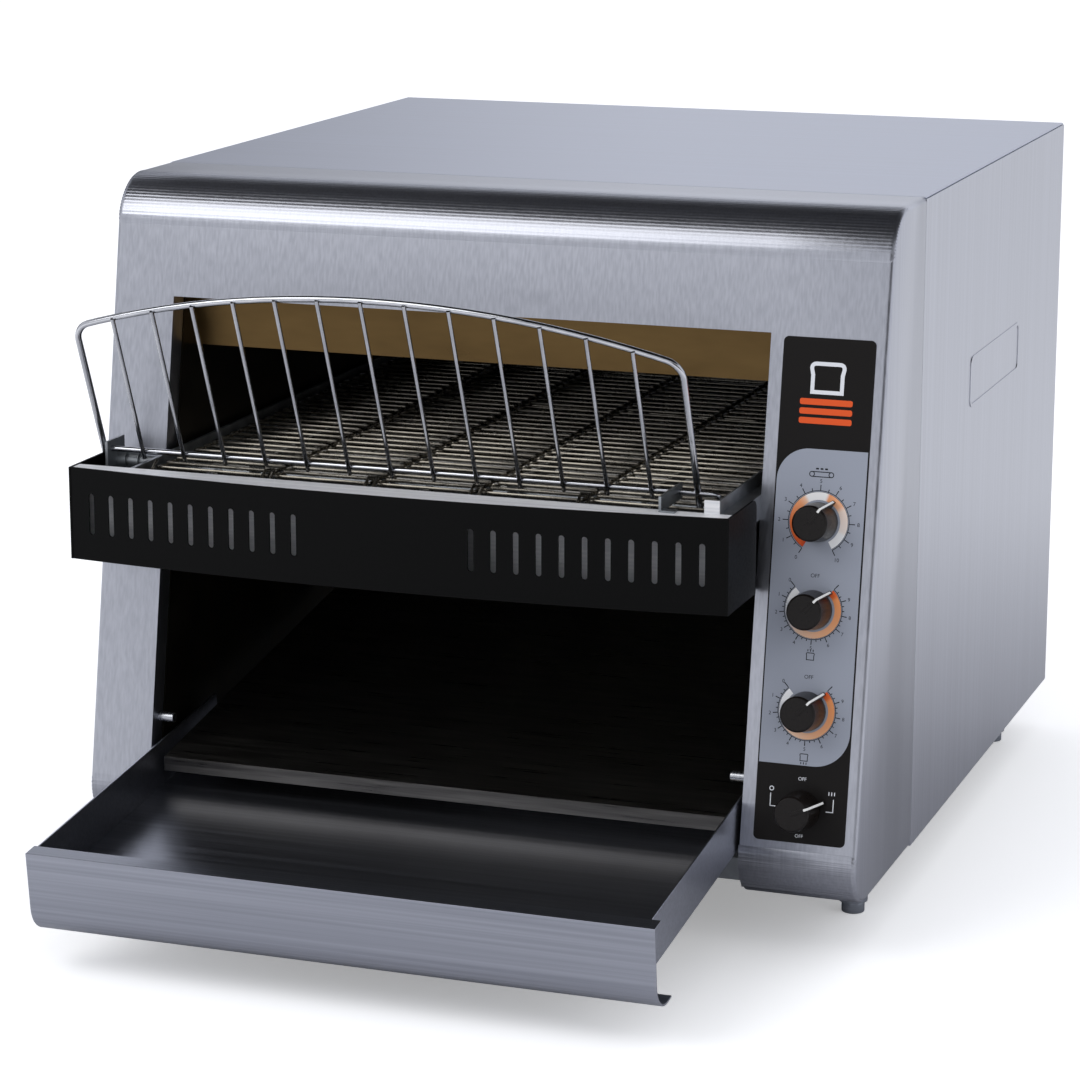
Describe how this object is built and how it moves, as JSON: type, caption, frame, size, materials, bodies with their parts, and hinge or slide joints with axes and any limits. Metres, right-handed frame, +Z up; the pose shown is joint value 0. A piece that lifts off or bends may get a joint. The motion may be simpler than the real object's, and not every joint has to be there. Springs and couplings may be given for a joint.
{
  "type": "conveyor toaster",
  "caption": "Countertop conveyor toaster: a wire belt carries bread through a heated tunnel, and a chute returns the toast to a pull-out tray under the loading end.",
  "frame": {"origin": "bottom centre of the whole machine's bounding box, on the counter that the feet stand on", "axes": "+X to the right seen from the front, +Y from the front to the back, +Z up; the loading mouth and the tray face -Y"},
  "size_m": [0.4704, 0.6842, 0.416],
  "materials": {
    "brushed_case": "vertical or lengthwise brushed grain",
    "brushed_tray": "crosswise brushed grain",
    "galvanised": "dull bare sheet",
    "black_paint": "semi-gloss black",
    "label_film": "printed overlay, satin",
    "chrome_wire": "bright plated wire",
    "wire_steel": "bare stainless wire",
    "machined_steel": "turned",
    "cast_aluminium": "turned, satin",
    "knob_plastic": "black moulding",
    "control_plastic": "pale moulding",
    "bronze": "sintered bush",
    "quartz": "frosted quartz tube",
    "ceramic": "steatite",
    "mineral_wool": "needled mat",
    "fan_plastic": "black moulding",
    "motor_enamel": "dark enamel"
  },
  "bodies": {
    "machine": {"front_panel": "brushed_case", "top_panel": "brushed_case", "left_side_panel": "brushed_case", "right_side_panel": "brushed_case", "back_panel": "brushed_case", "bottom_pan": "galvanised", "case_screws": "machined_steel", "control_label": "label_film", "leg_sockets": "cast_aluminium", "front_guard": "black_paint", "loading_pan": "galvanised", "loading_trim": "brushed_tray", "left_rail": "galvanised", "right_rail": "galvanised", "rack_clips": "machined_steel", "conveyor_belt": "wire_steel", "belt_supports": "galvanised", "idler_bushes": "bronze", "drive_bushes": "bronze", "drive_chain": "wire_steel", "gear_motor": "motor_enamel", "motor_bracket": "galvanised", "top_reflector": "galvanised", "bottom_reflector": "galvanised", "insulation": "mineral_wool", "top_heaters": "quartz", "bottom_heaters": "quartz", "top_holders": "ceramic", "bottom_holders": "ceramic", "left_liner": "galvanised", "control_partition": "galvanised", "toast_chute": "brushed_tray", "tray_runners": "galvanised", "hold_down_pins": "machined_steel", "speed_control": "control_plastic", "top_heat_control": "control_plastic", "bottom_heat_control": "control_plastic", "power_switch": "control_plastic", "terminal_block": "ceramic", "fan_frame": "fan_plastic", "fan_grille": "chrome_wire", "inlet_gland": "knob_plastic"},
    "drive_line": {"drive_shaft": "machined_steel", "drive_sprockets": "machined_steel", "shaft_sprocket": "machined_steel"},
    "idler_line": {"idler_shaft": "machined_steel", "idler_sprockets": "machined_steel"},
    "motor_pinion": {"motor_sprocket": "machined_steel"},
    "fan_wheel": {"fan_impeller": "fan_plastic"},
    "rack": {"bread_rack": "chrome_wire"},
    "tray": {"product_tray": "brushed_tray"},
    "speed_dial": {"speed_knob": "knob_plastic"},
    "top_heat_dial": {"top_heat_knob": "knob_plastic"},
    "bottom_heat_dial": {"bottom_heat_knob": "knob_plastic"},
    "power_dial": {"power_knob": "knob_plastic"},
    "foot_fl": {"front_left_foot": "cast_aluminium"},
    "foot_fr": {"front_right_foot": "cast_aluminium"},
    "foot_rl": {"rear_left_foot": "cast_aluminium"},
    "foot_rr": {"rear_right_foot": "cast_aluminium"}
  },
  "joints": [
    {"name": "drive_spin", "type": "hinge", "parent": "machine", "child": "drive_line", "pos_m": [0, 0.241, 0.23941], "axis": [1, 0, 0], "continuous": true, "deforming": ["conveyor_belt", "drive_chain"]},
    {"name": "idler_spin", "type": "hinge", "parent": "machine", "child": "idler_line", "pos_m": [0, -0.1781, 0.23941], "axis": [1, 0, 0], "continuous": true},
    {"name": "motor_spin", "type": "hinge", "parent": "machine", "child": "motor_pinion", "pos_m": [0.182, 0.241, 0.12575], "axis": [1, 0, 0], "continuous": true},
    {"name": "fan_spin", "type": "hinge", "parent": "machine", "child": "fan_wheel", "pos_m": [0.1962, 0.3239, 0.345], "axis": [0, 1, 0], "continuous": true},
    {"name": "rack_pivot", "type": "hinge", "parent": "machine", "child": "rack", "pos_m": [-0.041, -0.1731, 0.264], "axis": [1, 0, 0], "range_deg": [-42, 0]},
    {"name": "tray_slide", "type": "slide", "parent": "machine", "child": "tray", "axis": [0, -0.9942, -0.108], "range_m": [-0.138, 0]},
    {"name": "speed_turn", "type": "hinge", "parent": "machine", "child": "speed_dial", "pos_m": [0.2018, -0.14729, 0.247], "axis": [0, -0.9854, 0.1702], "range_deg": [-115, 185]},
    {"name": "top_heat_turn", "type": "hinge", "parent": "machine", "child": "top_heat_dial", "pos_m": [0.2018, -0.15558, 0.199], "axis": [0, -0.9854, 0.1702], "range_deg": [-317.5, 0]},
    {"name": "bottom_heat_turn", "type": "hinge", "parent": "machine", "child": "bottom_heat_dial", "pos_m": [0.2018, -0.16517, 0.1435], "axis": [0, -0.9854, 0.1702], "range_deg": [-317.5, 0]},
    {"name": "power_turn", "type": "hinge", "parent": "machine", "child": "power_dial", "pos_m": [0.2018, -0.17458, 0.089], "axis": [0, -0.9854, 0.1702], "range_deg": [-113, 157]},
    {"name": "foot_fl_screw", "type": "slide", "parent": "machine", "child": "foot_fl", "axis": [0, 0, -1], "range_m": [0, 0.012]},
    {"name": "foot_fr_screw", "type": "slide", "parent": "machine", "child": "foot_fr", "axis": [0, 0, -1], "range_m": [0, 0.012]},
    {"name": "foot_rl_screw", "type": "slide", "parent": "machine", "child": "foot_rl", "axis": [0, 0, -1], "range_m": [0, 0.012]},
    {"name": "foot_rr_screw", "type": "slide", "parent": "machine", "child": "foot_rr", "axis": [0, 0, -1], "range_m": [0, 0.012]}
  ],
  "couplings": [
    {"joint": "idler_spin", "follows": "drive_spin", "ratio": 1},
    {"joint": "motor_spin", "follows": "drive_spin", "ratio": 2}
  ]
}
